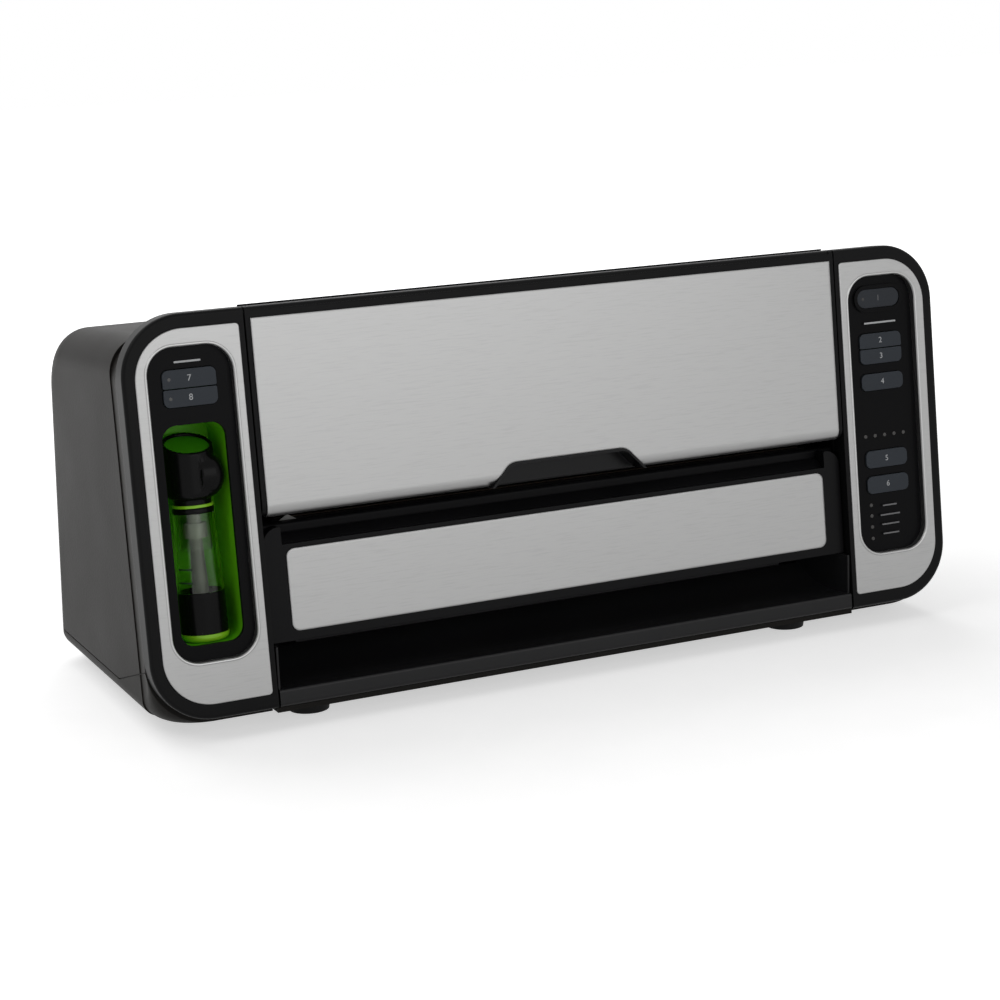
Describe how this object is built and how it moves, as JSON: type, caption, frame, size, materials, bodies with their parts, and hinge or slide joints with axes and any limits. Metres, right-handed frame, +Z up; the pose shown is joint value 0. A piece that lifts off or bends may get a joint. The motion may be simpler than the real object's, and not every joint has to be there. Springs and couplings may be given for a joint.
{
  "type": "vacuum sealer",
  "caption": "Countertop vacuum sealer with hinged lid over a bag roll bay, pop-out sealing drawer, control tower and docked handheld sealer.",
  "frame": {"origin": "on the surface that the feet stand on, under the middle of the appliance", "axes": "+X to the user's right along the appliance, +Y to the back, +Z up"},
  "size_m": [0.448, 0.1962, 0.2031],
  "materials": {
    "shell_grey": "satin",
    "base_grey": "satin",
    "black_plastic": "satin",
    "brushed_plate": "brushed along X",
    "panel_black": "satin",
    "button_grey": "satin",
    "green_plastic": "satin",
    "clear_plastic": "clear",
    "tube_grey": "satin",
    "rubber_black": "matt",
    "silicone": "matt",
    "board": "satin",
    "switch_black": "satin",
    "steel": "polished",
    "aluminium": "satin",
    "motor_steel": "zinc plated",
    "pump_plastic": "satin",
    "tray_grey": "satin"
  },
  "bodies": {
    "housing": {"accessory_board": "board", "base_pan": "base_grey", "control_board": "board", "cord_gland": "rubber_black", "cutter_rail": "steel", "feed_deck": "black_plastic", "feed_motor": "motor_steel", "feet": "rubber_black", "guide_rods": "steel", "hinge_pins": "steel", "left_bezel": "black_plastic", "left_fascia": "brushed_plate", "left_panel": "panel_black", "left_side_plate": "black_plastic", "main_shell": "shell_grey", "niche_liner": "green_plastic", "panel_lenses": "clear_plastic", "pump_motor": "motor_steel", "right_bezel": "black_plastic", "right_fascia": "brushed_plate", "right_panel": "panel_black", "right_side_plate": "black_plastic", "roll_trough": "black_plastic", "seal_strip": "aluminium", "tact_switches": "switch_black", "transformer": "motor_steel", "vacuum_pump": "pump_plastic"},
    "lid": {"lid_cover": "black_plastic", "lid_plate": "brushed_plate", "lid_handle": "black_plastic", "press_bar": "silicone"},
    "pinch": {"pinch_roller": "rubber_black"},
    "feed": {"feed_roller": "rubber_black"},
    "cutter": {"cutter_carriage": "steel"},
    "drawer": {"drawer_base": "black_plastic", "drawer_front": "black_plastic", "drawer_plate": "brushed_plate", "drip_tray": "tray_grey", "lower_gasket": "rubber_black", "seal_pad": "silicone"},
    "jaw": {"vacuum_head": "black_plastic", "heat_bar": "aluminium", "upper_gasket": "rubber_black"},
    "wand": {"wand_ring": "green_plastic", "wand_cup": "black_plastic", "wand_tank": "clear_plastic", "wand_tube": "tube_grey", "wand_head": "black_plastic", "wand_inlay": "green_plastic", "neck_ring": "green_plastic"},
    "power_button": {"power_button": "button_grey"},
    "dispense_button": {"dispense_button": "button_grey"},
    "rewind_button": {"rewind_button": "button_grey"},
    "seal_cut_button": {"seal_cut_button": "button_grey"},
    "seal_button": {"seal_button": "button_grey"},
    "cancel_button": {"cancel_button": "button_grey"},
    "vacuum_button": {"vacuum_button": "button_grey"},
    "marinate_button": {"marinate_button": "button_grey"}
  },
  "joints": [
    {"name": "lid_hinge", "type": "hinge", "parent": "housing", "child": "lid", "pos_m": [0, 0.03795, 0.179], "axis": [-1, 0, 0], "range_deg": [0, 75]},
    {"name": "pinch_spin", "type": "hinge", "parent": "lid", "child": "pinch", "pos_m": [0, -0.05005, 0.1065], "axis": [1, 0, 0], "continuous": true},
    {"name": "feed_spin", "type": "hinge", "parent": "housing", "child": "feed", "pos_m": [0, -0.05005, 0.091], "axis": [1, 0, 0], "continuous": true},
    {"name": "cutter_slide", "type": "slide", "parent": "housing", "child": "cutter", "axis": [1, 0, 0], "range_m": [0, 0.288]},
    {"name": "drawer_slide", "type": "slide", "parent": "housing", "child": "drawer", "axis": [0, -1, 0], "range_m": [0, 0.07]},
    {"name": "jaw_press", "type": "slide", "parent": "housing", "child": "jaw", "axis": [0, 0, -1], "range_m": [0, 0.0022]},
    {"name": "wand_lift_out", "type": "slide", "parent": "housing", "child": "wand", "axis": [0, -0.9962, 0.0872], "range_m": [0, 0.05]},
    {"name": "power_press", "type": "slide", "parent": "housing", "child": "power_button", "axis": [0, 0.9962, -0.0872], "range_m": [0, 0.0006], "stiffness_N_per_m": 500},
    {"name": "dispense_press", "type": "slide", "parent": "housing", "child": "dispense_button", "axis": [0, 0.9962, -0.0872], "range_m": [0, 0.0006], "stiffness_N_per_m": 500},
    {"name": "rewind_press", "type": "slide", "parent": "housing", "child": "rewind_button", "axis": [0, 0.9962, -0.0872], "range_m": [0, 0.0006], "stiffness_N_per_m": 500},
    {"name": "seal_cut_press", "type": "slide", "parent": "housing", "child": "seal_cut_button", "axis": [0, 0.9962, -0.0872], "range_m": [0, 0.0006], "stiffness_N_per_m": 500},
    {"name": "seal_press", "type": "slide", "parent": "housing", "child": "seal_button", "axis": [0, 0.9962, -0.0872], "range_m": [0, 0.0006], "stiffness_N_per_m": 500},
    {"name": "cancel_press", "type": "slide", "parent": "housing", "child": "cancel_button", "axis": [0, 0.9962, -0.0872], "range_m": [0, 0.0006], "stiffness_N_per_m": 500},
    {"name": "vacuum_press", "type": "slide", "parent": "housing", "child": "vacuum_button", "axis": [0, 0.9962, -0.0872], "range_m": [0, 0.0006], "stiffness_N_per_m": 500},
    {"name": "marinate_press", "type": "slide", "parent": "housing", "child": "marinate_button", "axis": [0, 0.9962, -0.0872], "range_m": [0, 0.0006], "stiffness_N_per_m": 500}
  ]
}
